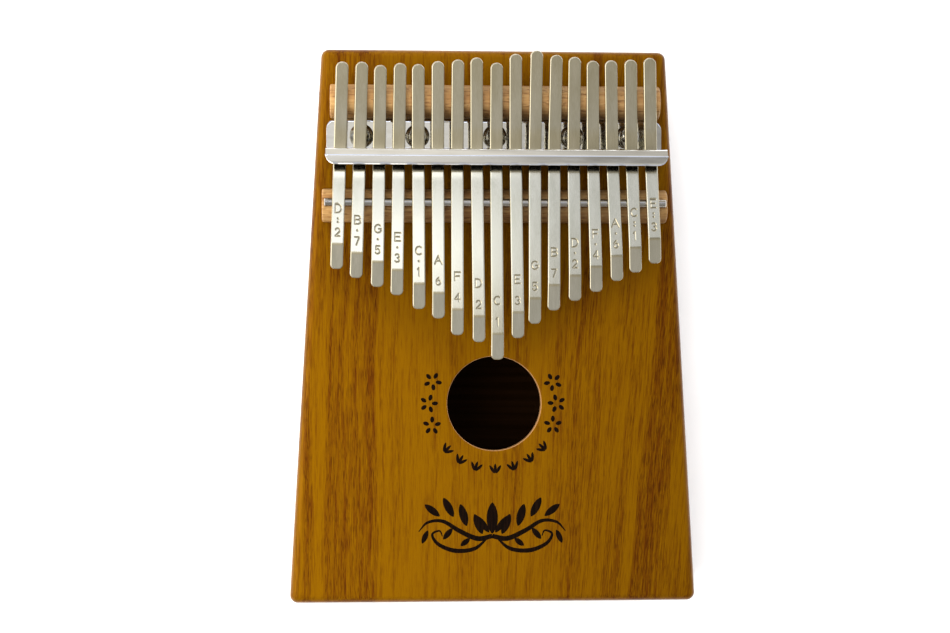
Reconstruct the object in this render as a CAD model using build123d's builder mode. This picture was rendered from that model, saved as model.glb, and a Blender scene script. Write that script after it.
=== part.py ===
from build123d import *
import os
from math import asin, atan2, cos, degrees, hypot, radians, sin, tan

os.makedirs("parts", exist_ok=True)

# Seventeen-key box mbira (kalimba).
# Millimetres. The origin is the middle of the underside of the box. +X runs across
# the keys from low index to high, +Y points to the head, where the keys are held,
# and +Z rises out of the soundboard.

# ---- box ----
body_length = 184
head_width = 115
tail_width = 136
board_thickness = 4
rim_height = 27
back_thickness = 4
side_wall = 9
head_wall = 12
tail_wall = 12
corner_radius = 2.7
edge_radius = 2.6
edge_land = 0.5

sound_hole_diameter = 31.4
sound_hole_from_tail = 66.2
hole_edge_radius = 0.4
wah_hole_diameter = 10
wah_hole_spacing = 44
wah_hole_from_head = 78

# ---- key layout ----
tine_pitch = 6.4
tine_width = 4.2
tine_thickness = 1.2
longest_blade = 51.3
end_effect = 5.75
tip_run = 8.2
tip_droop = 11
tip_corner_radius = 1.6
tip_bend_radius = 3
tail_rounding = 0.49
spring_radius = 80
contact_gap = 0.05
length_tolerance = 0.01

# ---- bracket: one bent sheet ----
web_from_head = 34.65
sheet = 1.5
sheet_bend_radius = 1.2
flange_depth = 12.55
lip_depth = 5.3
bracket_corner_radius = 3
bracket_margin = 2.45
slot_side_gap = 0.3
slot_room_above = 0.6
slot_room_below = 1.7
slot_corner_radius = 0.6
web_above_slots = 4.8
pinch_drop = 2

# ---- bracket screws ----
screw_inset = 11.55
screw_gap = 18.5
screw_from_flange_edge = 5.5
screw_length = 20
screw_diameter = 4
screw_point = 3
screw_head_diameter = 8
screw_head_height = 2.6
screw_rim_height = 0.9
recess_width = 1.1
recess_span = 4.4
recess_depth = 1.6
recess_taper = 10
flange_hole_clearance = 0.25
thread_clearance = 0.05
anchor_depth = 18
anchor_length = 16

# ---- wooden bars and steel rod ----
back_bar_width = 11
back_bar_height = 8.5
back_bar_gap = 0.3
back_bar_shortening = 1.2
bridge_width = 11
bridge_height = 7.2
bridge_offset = 0.65
bridge_lengthening = 1.4
bar_end_radius = 0.6
saddle_from_web = 16.1
rod_diameter = 2.8
rod_sink = 1
rod_inset = 0.8
rod_end_chamfer = 0.3

# ---- keys, from the low-index side to the other ----
# note, semitones above the lowest key, length left on in tuning by ear,
# how far the tail passes the back bar, and how far the blade splays to +X, degrees
keys = [
    ("d6", 26, 0.7, 6.5, -1.5),
    ("b5", 23, 1.2, 6.5, -1.5),
    ("g5", 19, 0.5, 5.5, -0.8),
    ("e5", 16, 0.2, 6.2, -0.8),
    ("c5", 12, 0.3, 5.9, 0.2),
    ("a4", 9, -0.3, 6.9, 0.1),
    ("f4", 5, -0.3, 7.5, -0.2),
    ("d4", 2, -2.5, 8.2, 0.4),
    ("c4", 0, 0.0, 6.6, 0.0),
    ("e4", 4, -0.8, 9.5, 0.3),
    ("g4", 7, -1.2, 10.7, -0.6),
    ("b4", 11, -0.5, 9.3, -0.8),
    ("d5", 14, -0.2, 8.7, -0.1),
    ("f5", 17, 0.0, 7.5, 0.7),
    ("a5", 21, 0.2, 7.7, 1.5),
    ("c6", 24, 0.0, 8.0, 1.3),
    ("e6", 28, 0.1, 8.6, 1.5),
]


def half_width(y):
    """Half the width of the box at a place along its length."""
    return tail_width / 2 + (head_width - tail_width) / 2 * (y - tail_y) / body_length


def rest_slope(run, rise, radius):
    """Slope, in degrees, of a line from a point that touches a circle from above.

    The circle's middle lies run away and rise above the point.
    """
    return degrees(atan2(rise, run) + asin(radius / hypot(run, rise)))


# ---- places that follow ----
head_y = body_length / 2
tail_y = -body_length / 2
board_bottom = back_thickness + rim_height
board_top = board_bottom + board_thickness
board_edge_radius = min(edge_radius, board_thickness - edge_land)
back_edge_radius = min(edge_radius, back_thickness - edge_land)

web_rear = head_y - web_from_head
web_middle = web_rear - sheet / 2
web_front = web_rear - sheet
flange_rear = web_rear + flange_depth - sheet
flange_top = board_top + sheet
lip_front = web_rear - lip_depth
back_bar_y = flange_rear + back_bar_gap + back_bar_width / 2
back_bar_rear = back_bar_y + back_bar_width / 2
saddle_y = web_middle - saddle_from_web
bridge_y = saddle_y - bridge_offset

# ---- the line of the keys, seen from the side ----
# A key bends down to the bracket in a shallow V with a long spring curve at its corner.
# Its tail slopes up over the back bar, and its blade slopes up over the saddle rod.
bridge_crown = board_top + bridge_height
rod_middle = bridge_crown + rod_diameter / 2 - rod_sink
bar_crown_radius = back_bar_width / 2
bar_crown_middle = board_top + back_bar_height - bar_crown_radius
corner_z = rod_middle + rod_diameter / 2 - pinch_drop
tail_slope = rest_slope(
    back_bar_y - web_middle, bar_crown_middle - corner_z, bar_crown_radius + contact_gap
)
blade_slope = rest_slope(saddle_from_web, rod_middle - corner_z, rod_diameter / 2 + contact_gap)
half_turn = radians(tail_slope + blade_slope) / 2
key_bottom = corner_z + spring_radius * (1 / cos(half_turn) - 1)

slot_top = key_bottom + tine_thickness + slot_room_above
slot_bottom = key_bottom - slot_room_below
lip_bottom = slot_top + web_above_slots

key_x = [(index - (len(keys) - 1) / 2) * tine_pitch for index in range(len(keys))]
bracket_width = key_x[-1] - key_x[0] + tine_width + 2 * bracket_margin
outer_screw = bracket_width / 2 - screw_inset
inner_screw = outer_screw - screw_gap
screw_y = flange_rear - screw_from_flange_edge
screw_points = [(x, screw_y) for x in (-outer_screw, -inner_screw, 0, inner_screw, outer_screw)]

# ---- shared outlines ----
with BuildSketch() as box_outline:
    with BuildLine():
        Polyline(
            (-tail_width / 2, tail_y),
            (tail_width / 2, tail_y),
            (head_width / 2, head_y),
            (-head_width / 2, head_y),
            close=True,
        )
    make_face()
    fillet(vertices(), corner_radius)


def cross_piece(low_y, high_y):
    """Outline of a piece that fills the box from side to side between two places."""
    low_half = half_width(low_y) - side_wall
    high_half = half_width(high_y) - side_wall
    with BuildSketch() as outline:
        with BuildLine():
            Polyline(
                (-low_half, low_y),
                (low_half, low_y),
                (high_half, high_y),
                (-high_half, high_y),
                close=True,
            )
        make_face()
    return outline.sketch


def round_bar(middle_y, width, height):
    """Section of a bar on the soundboard: upright sides under a half-round crown."""
    shoulder = board_top + height - width / 2
    with BuildSketch(Plane.YZ) as section:
        with BuildLine():
            Polyline(
                (middle_y + width / 2, shoulder),
                (middle_y + width / 2, board_top),
                (middle_y - width / 2, board_top),
                (middle_y - width / 2, shoulder),
            )
            ThreePointArc(
                (middle_y - width / 2, shoulder),
                (middle_y, board_top + height),
                (middle_y + width / 2, shoulder),
            )
        make_face()
    return section.sketch


# ---- soundboard ----
with BuildPart() as soundboard:
    with BuildSketch(Plane.XY.offset(board_bottom)):
        add(box_outline.sketch)
    extrude(amount=board_thickness)
    fillet(edges().group_by(Axis.Z)[-1], board_edge_radius)
    with Locations((0, tail_y + sound_hole_from_tail, board_top)):
        Hole(sound_hole_diameter / 2)
    fillet(edges().filter_by(GeomType.CIRCLE).group_by(SortBy.RADIUS)[-1], hole_edge_radius)
    with Locations(*screw_points):
        Hole(screw_diameter / 2 + thread_clearance)
soundboard.part.label = "soundboard"
export_step(soundboard.part, "parts/soundboard.step")

# ---- back plate, with two small holes that the fingers cover for the wah effect ----
with BuildPart() as back_plate:
    with BuildSketch():
        add(box_outline.sketch)
    extrude(amount=back_thickness)
    fillet(edges().group_by(Axis.Z)[0], back_edge_radius)
    with Locations((0, head_y - wah_hole_from_head)):
        with GridLocations(wah_hole_spacing, 0, 2, 1):
            Hole(wah_hole_diameter / 2)
    fillet(edges().filter_by(GeomType.CIRCLE).group_by(SortBy.RADIUS)[-1], hole_edge_radius)
back_plate.part.label = "back_plate"
export_step(back_plate.part, "parts/back_plate.step")

# ---- rim: two sides that run the whole length, and two blocks between them ----
for side_name, hand in (("left_side", -1), ("right_side", 1)):
    with BuildPart() as side:
        with BuildSketch(Plane.XY.offset(back_thickness)):
            with BuildLine():
                Polyline(
                    (hand * tail_width, tail_y),
                    (hand * (tail_width / 2 - side_wall), tail_y),
                    (hand * (head_width / 2 - side_wall), head_y),
                    (hand * tail_width, head_y),
                    close=True,
                )
            make_face()
            add(box_outline.sketch, mode=Mode.INTERSECT)
        extrude(amount=rim_height)
        # On a box narrower than its bracket the outer screws reach into the sides.
        with Locations(*screw_points):
            Hole(screw_diameter / 2 + thread_clearance)
    side.part.label = side_name
    export_step(side.part, "parts/" + side_name + ".step")

with BuildPart() as head_block:
    with BuildSketch(Plane.XY.offset(back_thickness)):
        add(cross_piece(head_y - head_wall, head_y))
    extrude(amount=rim_height)
head_block.part.label = "head_block"
export_step(head_block.part, "parts/head_block.step")

with BuildPart() as tail_block:
    with BuildSketch(Plane.XY.offset(back_thickness)):
        add(cross_piece(tail_y, tail_y + tail_wall))
    extrude(amount=rim_height)
tail_block.part.label = "tail_block"
export_step(tail_block.part, "parts/tail_block.step")

# ---- block glued under the soundboard, which the bracket's screws bite into ----
with BuildPart() as anchor_block:
    with BuildSketch(Plane.XY.offset(board_bottom - anchor_depth)):
        add(cross_piece(screw_y - anchor_length / 2, screw_y + anchor_length / 2))
    extrude(amount=anchor_depth)
    with Locations(*screw_points):
        Hole(screw_diameter / 2 + thread_clearance)
anchor_block.part.label = "anchor_block"
export_step(anchor_block.part, "parts/anchor_block.step")

# ---- back bar, which the tails of the keys rest on ----
with BuildPart() as back_bar:
    extrude(
        round_bar(back_bar_y, back_bar_width, back_bar_height),
        amount=bracket_width / 2 - back_bar_shortening,
        both=True,
    )
    end_edges = edges().group_by(Axis.X)
    fillet(end_edges[0] + end_edges[-1], bar_end_radius)
back_bar.part.label = "back_bar"
export_step(back_bar.part, "parts/back_bar.step")

# ---- front bridge, with the groove that holds the saddle rod ----
bridge_half = bracket_width / 2 + bridge_lengthening
with BuildPart() as front_bridge:
    extrude(round_bar(bridge_y, bridge_width, bridge_height), amount=bridge_half, both=True)
    end_edges = edges().group_by(Axis.X)
    fillet(end_edges[0] + end_edges[-1], bar_end_radius)
    with BuildSketch(Plane.YZ):
        with Locations((saddle_y, rod_middle)):
            Circle(rod_diameter / 2 + contact_gap)
    extrude(amount=2 * bridge_half, both=True, mode=Mode.SUBTRACT)
front_bridge.part.label = "front_bridge"
export_step(front_bridge.part, "parts/front_bridge.step")

# ---- saddle rod, the round steel edge that the keys speak from ----
with BuildPart() as saddle_rod:
    with BuildSketch(Plane.YZ):
        with Locations((saddle_y, rod_middle)):
            Circle(rod_diameter / 2)
    extrude(amount=bridge_half - rod_inset, both=True)
    chamfer(edges().filter_by(GeomType.CIRCLE), rod_end_chamfer)
saddle_rod.part.label = "saddle_rod"
export_step(saddle_rod.part, "parts/saddle_rod.step")

# ---- bracket: flange on the board, upright web with a slot per key, lip forward ----
with BuildPart() as tine_bracket:
    with BuildSketch(Plane.YZ):
        with BuildLine():
            FilletPolyline(
                (flange_rear, board_top),
                (web_front, board_top),
                (web_front, lip_bottom),
                (lip_front, lip_bottom),
                (lip_front, lip_bottom + sheet),
                (web_rear, lip_bottom + sheet),
                (web_rear, flange_top),
                (flange_rear, flange_top),
                radius=[
                    0,
                    sheet_bend_radius + sheet,
                    sheet_bend_radius,
                    0,
                    0,
                    sheet_bend_radius + sheet,
                    sheet_bend_radius,
                    0,
                ],
                close=True,
            )
        make_face()
    extrude(amount=bracket_width / 2, both=True)
    upright_edges = edges().filter_by(Axis.Z).group_by(Axis.Y)
    fillet(upright_edges[0] + upright_edges[-1], bracket_corner_radius)
    with BuildSketch(Plane.XZ.offset(-web_middle)):
        with Locations(*[(x, (slot_top + slot_bottom) / 2) for x in key_x]):
            RectangleRounded(
                tine_width + 2 * slot_side_gap, slot_top - slot_bottom, slot_corner_radius
            )
    extrude(amount=sheet, both=True, mode=Mode.SUBTRACT)
    with Locations(*[(x, y, flange_top) for x, y in screw_points]):
        Hole(screw_diameter / 2 + flange_hole_clearance, depth=2 * sheet)
tine_bracket.part.label = "tine_bracket"
export_step(tine_bracket.part, "parts/tine_bracket.step")

# ---- five round-headed wood screws with a crossed recess ----
head_radius = screw_head_diameter / 2
shank_radius = screw_diameter / 2
with BuildPart() as screw:
    with BuildSketch(Plane.XZ):
        with BuildLine():
            Polyline(
                (0, screw_head_height),
                (0, -screw_length),
                (shank_radius, screw_point - screw_length),
                (shank_radius, 0),
                (head_radius, 0),
                (head_radius, screw_rim_height),
            )
            crown_rise = screw_head_height - screw_rim_height
            crown_radius = (head_radius**2 + crown_rise**2) / (2 * crown_rise)
            RadiusArc((0, screw_head_height), (head_radius, screw_rim_height), crown_radius)
        make_face()
    revolve(axis=Axis.Z)
    with BuildSketch(Plane.XY.offset(screw_head_height)):
        Rectangle(recess_span, recess_width)
        Rectangle(recess_width, recess_span)
    extrude(amount=-recess_depth, taper=recess_taper, mode=Mode.SUBTRACT)
with BuildPart() as bracket_screws:
    with Locations(*[(x, y, flange_top) for x, y in screw_points]):
        add(screw.part)
bracket_screws.part.label = "bracket_screws"
export_step(bracket_screws.part, "parts/bracket_screws.step")

# ---- keys ----
for index, (note, semitones, trim, tail_reach, splay) in enumerate(keys):
    # A bar's pitch goes as one over its length squared, so an octave is a factor of
    # the square root of two in length, once the bar's stiff end is allowed for.
    blade = (longest_blade + end_effect) * 2 ** (-semitones / 24) - end_effect + trim
    straight_run = saddle_from_web + blade - tip_run
    tail_run = back_bar_rear + tail_reach - web_middle
    tip_angle = radians(blade_slope - tip_droop)
    crease = (-straight_run, corner_z + straight_run * tan(radians(blade_slope)))
    tail_rise = tail_run * tan(radians(tail_slope))
    # Seen from the side, with +x to the tail and the V's corner at 0.
    side_plane = Plane(
        origin=(key_x[index], web_middle, 0),
        x_dir=(-sin(radians(splay)), cos(radians(splay)), 0),
        z_dir=(cos(radians(splay)), sin(radians(splay)), 0),
    )
    with BuildPart() as tine:
        with BuildSketch(side_plane):
            with BuildLine():
                FilletPolyline(
                    (tail_run, corner_z + tail_rise),
                    (0, corner_z),
                    crease,
                    (crease[0] - tip_run * cos(tip_angle), crease[1] + tip_run * sin(tip_angle)),
                    radius=[spring_radius, tip_bend_radius],
                )
                offset(amount=tine_thickness, side=Side.RIGHT, closed=True)
            make_face()
        extrude(amount=tine_width / 2, both=True)
        thin_edges = edges().filter_by(lambda edge: abs(edge.length - tine_thickness) < length_tolerance)
        thin_edges = thin_edges.group_by(Axis.Y)
        fillet(thin_edges[0], tip_corner_radius)
        fillet(thin_edges[-1], tail_rounding * tine_width)
    tine_name = f"tine_{index + 1:02d}_{note}"
    tine.part.label = tine_name
    export_step(tine.part, "parts/" + tine_name + ".step")
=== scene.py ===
from functools import partial
from math import cos, pi, radians, sin

import bmesh
import bpy
import numpy as np
from mathutils import Matrix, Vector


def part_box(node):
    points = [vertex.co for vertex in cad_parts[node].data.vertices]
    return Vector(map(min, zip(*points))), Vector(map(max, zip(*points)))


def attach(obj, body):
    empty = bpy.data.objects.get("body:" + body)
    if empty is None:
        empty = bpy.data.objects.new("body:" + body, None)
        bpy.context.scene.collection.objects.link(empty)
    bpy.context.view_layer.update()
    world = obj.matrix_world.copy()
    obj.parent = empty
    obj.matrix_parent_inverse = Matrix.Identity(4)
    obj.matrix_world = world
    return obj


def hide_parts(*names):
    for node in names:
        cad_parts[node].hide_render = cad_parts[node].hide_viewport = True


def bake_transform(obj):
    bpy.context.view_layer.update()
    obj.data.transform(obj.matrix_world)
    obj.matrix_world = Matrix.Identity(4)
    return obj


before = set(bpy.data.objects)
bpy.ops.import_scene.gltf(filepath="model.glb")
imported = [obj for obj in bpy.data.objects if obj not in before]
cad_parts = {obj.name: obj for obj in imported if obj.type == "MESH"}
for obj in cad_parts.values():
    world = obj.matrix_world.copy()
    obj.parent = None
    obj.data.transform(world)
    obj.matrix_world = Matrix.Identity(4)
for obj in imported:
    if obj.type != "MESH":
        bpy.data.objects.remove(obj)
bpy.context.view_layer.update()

# Seventeen-key box mbira. Shapes are worked out in millimetres and put into meshes in metres.
mm = 0.001
scene = bpy.context.scene
scene.view_settings.view_transform = "Standard"


def boxOf(node):
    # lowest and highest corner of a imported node, in millimetres
    low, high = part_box(node)
    return np.array(low) / mm, np.array(high) / mm


def linear(hexColour):
    # sRGB hex to linear red, green, blue and full opacity
    parts = [int(hexColour[i:i + 2], 16) / 255 for i in (1, 3, 5)]
    return [c / 12.92 if c < 0.04045 else ((c + 0.055) / 1.055) ** 2.4 for c in parts] + [1.0]


# settings that several kinds of node share
smoothly = {"interpolation_type": "SMOOTHSTEP"}
asColour = {"data_type": "RGBA"}
asNumber = {"data_type": "FLOAT"}


def addNode(tree, kind, settings=None, values=None, links=None, stops=(), out=0):
    # one node by its settings, its socket values, the sockets that feed it and a colour ramp's stops;
    # gives back one of its outputs, or all of them
    node = tree.nodes.new("ShaderNode" + kind)
    for key, value in (settings or {}).items():
        setattr(node, key, value)
    for key, value in (values or {}).items():
        node.inputs[key].default_value = value
    for key, source in (links or {}).items():
        tree.links.new(source, node.inputs[key])
    for _ in stops[2:]:
        node.color_ramp.elements.new(0.5)
    for number, (place, colour) in enumerate(stops):
        node.color_ramp.elements[number].position = place
        node.color_ramp.elements[number].color = linear(colour)
    return node.outputs if out is None else node.outputs[out]


def newMaterial(name):
    # a material with an empty shader, and the function that adds nodes to it
    material = bpy.data.materials.new(name)
    material.use_nodes = True
    material.node_tree.nodes.clear()
    return material, partial(addNode, material.node_tree)


def closeMaterial(add, values, links):
    # the principled shader at the end of a material
    add("OutputMaterial", links={"Surface": add("BsdfPrincipled", values=values, links=links)}, out=None)


def spread(*columns):
    # coordinates brought to one shape and stacked along a last axis
    return np.stack(np.broadcast_arrays(*columns), axis=-1)


def gridMesh(name, points, ring=False, attribute=None):
    # points[u, v] is a stack of closed loops along v, each joined to the next by four-sided faces.
    # The first and last loops are filled, or joined to each other in a ring.
    countU, countV = points.shape[:2]
    index = np.arange(countU * countV).reshape(countU, countV)
    if ring:
        index = np.vstack([index, index[:1]])
    index = np.hstack([index, index[:, :1]])
    quads = np.stack([index[:-1, :-1], index[1:, :-1], index[1:, 1:], index[:-1, 1:]], axis=-1)
    faces = quads.reshape(-1, 4).tolist()
    if not ring:
        faces += [index[0, :countV].tolist(), index[-1, :countV][::-1].tolist()]
    mesh = bpy.data.meshes.new(name)
    mesh.from_pydata((points.reshape(-1, 3) * mm).tolist(), [], faces)
    if attribute:
        layer = mesh.attributes.new(attribute[0], "FLOAT", "POINT")
        layer.data.foreach_set("value", attribute[1].reshape(-1).astype(np.float32))
    weld(mesh)
    return mesh


def weld(mesh):
    # merges doubled points, drops faces without area and turns normals outwards
    work = bmesh.new()
    work.from_mesh(mesh)
    bmesh.ops.remove_doubles(work, verts=work.verts, dist=0.0005 * mm)
    bmesh.ops.dissolve_degenerate(work, edges=work.edges, dist=0.0002 * mm)
    bmesh.ops.recalc_face_normals(work, faces=work.faces)
    work.to_mesh(mesh)
    work.free()


def joinMeshes(name, meshes):
    # several closed shells as one mesh
    work = bmesh.new()
    for mesh in meshes:
        work.from_mesh(mesh)
    joined = bpy.data.meshes.new(name)
    work.to_mesh(joined)
    work.free()
    return joined


def shadeSmooth(mesh, sharp):
    # smooth but for edges sharper than the angle, in degrees
    mesh.shade_smooth()
    mesh.set_sharp_from_angle(angle=radians(sharp))


def addPiece(name, mesh, material, body="box", instead=(), sharp=35):
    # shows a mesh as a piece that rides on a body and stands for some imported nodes
    shadeSmooth(mesh, sharp)
    mesh.materials.clear()
    mesh.materials.append(material)
    piece = bpy.data.objects.new(name, mesh)
    scene.collection.objects.link(piece)
    if body:
        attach(piece, body)
    if instead:
        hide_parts(*instead)
    return piece


def applyModifiers(piece, sharp=35):
    # swaps a piece's mesh for what its modifiers make of it
    graph = bpy.context.evaluated_depsgraph_get()
    mesh = bpy.data.meshes.new_from_object(piece.evaluated_get(graph))
    piece.modifiers.clear()
    piece.data = mesh
    shadeSmooth(mesh, sharp)


def cornerArc(last, corner, following, radius, steps):
    # The arc that touches both sides of a corner, and the directions from its middle. The middle
    # lies radius * tan(half the turn) back along the first side and one radius to its inner side.
    before, after = corner - last, following - corner
    before, after = before / np.hypot(*before), after / np.hypot(*after)
    turn = np.arctan2(before[0] * after[1] - before[1] * after[0], before @ after)
    side = np.sign(turn) * np.array([-before[1], before[0]])
    middle = corner + radius * (side - before * np.tan(abs(turn) / 2))
    angle = abs(turn) * np.linspace(0, 1, steps)[:, None]
    outward = before * np.sin(angle) - side * np.cos(angle)
    return middle + radius * outward, outward


def roundedOutline(corners, radii, arcSteps, sideSteps):
    # a counter-clockwise outline of straight sides joined by arcs, with its outward normals
    corners = np.array(corners, float)
    arcs = [cornerArc(*corners[[i - 1, i, (i + 1) % len(corners)]], radius, arcSteps)
            for i, radius in enumerate(radii)]
    points, normals = [], []
    t = np.linspace(0, 1, sideSteps + 1)[1:-1, None]
    for (arc, normal), (nextArc, nextNormal) in zip(arcs, arcs[1:] + arcs[:1]):
        points += [arc, arc[-1] * (1 - t) + nextArc[0] * t]
        normals += [normal, normal[-1] * (1 - t) + nextNormal[0] * t]
    return np.vstack(points), np.vstack(normals)


def roundedPath(corners, radii, arcSteps=8):
    # an open line through corners joined by arcs; the first and last corners are its ends
    corners = np.array(corners, float)
    arcs = [cornerArc(*corners[i - 1:i + 2], radius, arcSteps)[0] for i, radius in enumerate(radii, 1)]
    return np.vstack([corners[:1], *arcs, corners[-1:]])


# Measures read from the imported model.
boardLow, boardHigh = boxOf("soundboard")
backTop = boxOf("back_plate")[1][2]
bracketLow, bracketHigh = boxOf("tine_bracket")
rodLow, rodHigh = boxOf("saddle_rod")
boardTop = boardHigh[2]
rodY, rodZ = (rodLow[1] + rodHigh[1]) / 2, (rodLow[2] + rodHigh[2]) / 2
rodRadius = (rodHigh[2] - rodLow[2]) / 2
print("measures read", boardLow.round(2), boardHigh.round(2))

boxShape = {
    "headHalf": 57.5,          # half width at the head
    "cornerRadius": 2.7,
    "topRound": 2.6,           # rounding of the board's top edge
    "seamRound": 0.22,         # broken edge where two pieces of wood meet
    "holeMiddle": (0.0, -25.8),
    "holeRadius": 15.7,
    "bareRadius": 15.82,       # the wood inside this is not stained
    "holeEdge": 0.4,
    "holeWall": "#b88a5c",
    "sideWall": 9.0,
    "endWall": 12.0,
    "jointRadius": 0.25,
}
headY, tailY = boardHigh[1], boardLow[1]
tailHalf = boardHigh[0]


def halfWidth(y):
    # the box narrows evenly from tail to head
    slope = (boxShape["headHalf"] - tailHalf) / (headY - tailY)
    return tailHalf + slope * (y - tailY)


def grainCoordinates(add, axis, factor, source=None):
    # object coordinates in millimetres, drawn out along the grain axis by a factor
    stretch = [1.0 / mm] * 3
    stretch[axis] /= factor
    return add("Mapping", values={"Scale": stretch},
               links={"Vector": source or add("TexCoord", out="Object")})


def grainNoise(add, axis, factor, scale, detail, roughness=0.5, source=None, out=0):
    # noise drawn out along the grain, with its scale per millimetre
    return add("TexNoise", values={"Scale": scale, "Detail": detail, "Roughness": roughness},
               links={"Vector": grainCoordinates(add, axis, factor, source)}, out=out)


woodShape = {
    "pale": "#7c5200", "deep": "#572a02", "streak": "#361202",
    "lean": 0.085,                 # how far the grain leans on the right side, as a slope
    "leanFrom": (-0.02, 0.05),     # metres from the middle
    # how deep the figure is, white for deep, from the board's left side to its right
    "figure": [(0.0, "#484848"), (0.05, "#b4b4b4"), (0.075, "#606060"), (0.1, "#d0d0d0"),
               (0.15, "#b0b0b0"), (0.19, "#d8d8d8"), (0.225, "#707070"), (0.27, "#3a3a3a"),
               (0.36, "#303030"), (0.42, "#606060"), (0.48, "#484848"), (0.54, "#909090"),
               (0.62, "#585858"), (0.69, "#8a8a8a"), (0.715, "#d0d0d0"), (0.74, "#808080"),
               (0.8, "#7a7a7a"), (0.84, "#a8a8a8"), (0.875, "#808080"), (0.905, "#ececec"),
               (0.94, "#c8c8c8"), (0.97, "#8c8c8c")],
}


def makeStainedWood(name, tones, paintedLeftLight, paintedRightLight, extra=None, crosswise=False):
    # Stained tone wood under clear lacquer. Growth bands go from olive to red brown, and in the deep
    # bands the long vessels are filled with dark stain. The colour is painted lighter toward the left
    # side and darker toward the right, as painted light and shade.
    pale, deep, streak = tones
    material, add = newMaterial(name)
    here = add("SeparateXYZ", links={0: add("TexCoord", out="Object")}, out=None)
    leanFrom, leanTo = woodShape["leanFrom"]
    slope = add("MapRange", smoothly, {1: leanFrom, 2: leanTo, 3: 0.0, 4: -woodShape["lean"]},
                {0: here["X"]})
    leaned = add("Math", {"operation": "MULTIPLY_ADD"}, links={0: slope, 1: here["Y"], 2: here["X"]})
    parts = [leaned, here["Y"], here["Z"]]
    if crosswise:                  # the end blocks' grain runs from side to side
        parts = [here[axis] for axis in ("Z", "X", "Y")]
    flow = add("CombineXYZ", links=dict(zip("XYZ", parts)))
    warp = grainNoise(add, 1, 2.2, 0.03, 2.0, source=flow, out="Color")  # slow waver of the bands
    bands = add("VectorMath", {"operation": "MULTIPLY_ADD"}, {1: (7.0, 0.0, 7.0)},
                {0: warp, 2: grainCoordinates(add, 1, 40, flow)})
    band = add("TexNoise", values={"Scale": 0.45, "Detail": 4.0, "Roughness": 0.6},
               links={"Vector": bands})                                  # bands 2 mm by 90 mm
    fibre = grainNoise(add, 1, 30, 2.2, 4.0, 0.7, flow)                  # fibres 0.4 mm wide
    vessel = grainNoise(add, 1, 15, 3.2, 2.0, 0.6, flow)                 # vessels 0.3 mm by 5 mm
    place = add("MapRange", values={1: -64.0, 2: 72.0}, links={0: add("SeparateXYZ", links={0: bands})})
    figure = add("ValToRGB", links={"Fac": place}, stops=woodShape["figure"])
    figure.node.color_ramp.interpolation = "EASE"
    share = add("MapRange", smoothly, {1: 0.32, 2: 0.68, 3: -0.34, 4: 0.34}, {0: band})
    share = add("Math", {"operation": "ADD", "use_clamp": True}, links={0: share, 1: figure})
    thread = add("MapRange", values={1: 0.3, 2: 0.7, 3: -0.6, 4: 0.6}, links={0: fibre})
    mix = add("Math", {"operation": "MULTIPLY_ADD", "use_clamp": True}, {1: 0.85}, {0: share, 2: thread})
    stain = add("Mix", asColour, {6: linear(pale), 7: linear(deep)}, {0: mix}, out=2)
    line = add("MapRange", smoothly, {1: 0.47, 2: 0.62, 3: 0.0, 4: 1.0}, {0: vessel})
    weight = add("MapRange", values={1: 0.1, 2: 0.9, 3: 0.12, 4: 0.85}, links={0: share})
    filled = add("Math", {"operation": "MULTIPLY"}, links={0: line, 1: weight})
    grain = add("Mix", asColour, {7: linear(streak)}, {0: filled, 6: stain}, out=2)
    # painted light and shade: the colour is scaled up on the left and down on the right
    fade = add("MapRange", values={1: -0.06, 2: 0.06, 3: paintedLeftLight, 4: paintedRightLight}, links={0: here["X"]})
    shade = add("VectorMath", {"operation": "SCALE"}, links={0: grain, "Scale": fade})
    bump = add("Bump", {"invert": True}, {"Strength": 0.2, "Distance": 0.02 * mm}, {"Height": filled})
    gloss = add("MapRange", values={1: 0.3, 2: 0.7, 3: 0.3, 4: 0.42}, links={0: fibre})
    if extra:
        shade, gloss = extra(add, here, shade, gloss)
    closeMaterial(add, {"IOR": 1.5, "Specular IOR Level": 0.4, "Specular Tint": linear("#ffa64a")},
                  {"Base Color": shade, "Roughness": gloss, "Normal": bump})
    return material


def cutEdge(add, here, shade, gloss):
    # bare wood on the wall of the sound hole
    holeX, holeY = boxShape["holeMiddle"]
    flat = add("CombineXYZ", links={"X": here["X"], "Y": here["Y"]})
    reach = add("VectorMath", {"operation": "DISTANCE"}, {1: (holeX * mm, holeY * mm, 0.0)}, {0: flat},
                out="Value")
    mask = add("Math", {"operation": "LESS_THAN"}, {1: boxShape["bareRadius"] * mm}, {0: reach})
    bare = linear(boxShape["holeWall"])
    return add("Mix", asColour, {7: bare}, {0: mask, 6: shade}, out=2), gloss


def paintedInnerShade(add, here, shade, gloss):
    # the face that closes the sound box is painted nearly black, as painted shade for the inside of the
    # box, and has no lacquer
    mask = add("Math", {"operation": "GREATER_THAN"}, {1: (backTop - 0.05) * mm}, {0: here["Z"]})
    grain = grainNoise(add, 0, 30, 0.5, 3.0)                             # across the box, 2 mm apart
    # painted shade: a nearly black colour on the inner face
    dark = add("ValToRGB", links={"Fac": grain}, stops=[(0.4, "#080401"), (0.6, "#170d05")])
    return (add("Mix", asColour, links={0: mask, 6: shade, 7: dark}, out=2),
            add("Mix", asNumber, {3: 1.0}, {0: mask, 2: gloss}))


stainTones = (woodShape["pale"], woodShape["deep"], woodShape["streak"])
lacqueredWood = makeStainedWood("lacquered_stained_wood", stainTones, 0.885, 0.62, cutEdge)
backWood = makeStainedWood("lacquered_back_wood", stainTones, 0.885, 0.63, paintedInnerShade)
blockWood = makeStainedWood("lacquered_cross_wood", stainTones, 0.9, 0.7, crosswise=True)
rawWood = makeStainedWood("raw_inner_wood", ("#7a5530", "#5f3e22", "#3a2412"), 1.0, 1.0)


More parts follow.
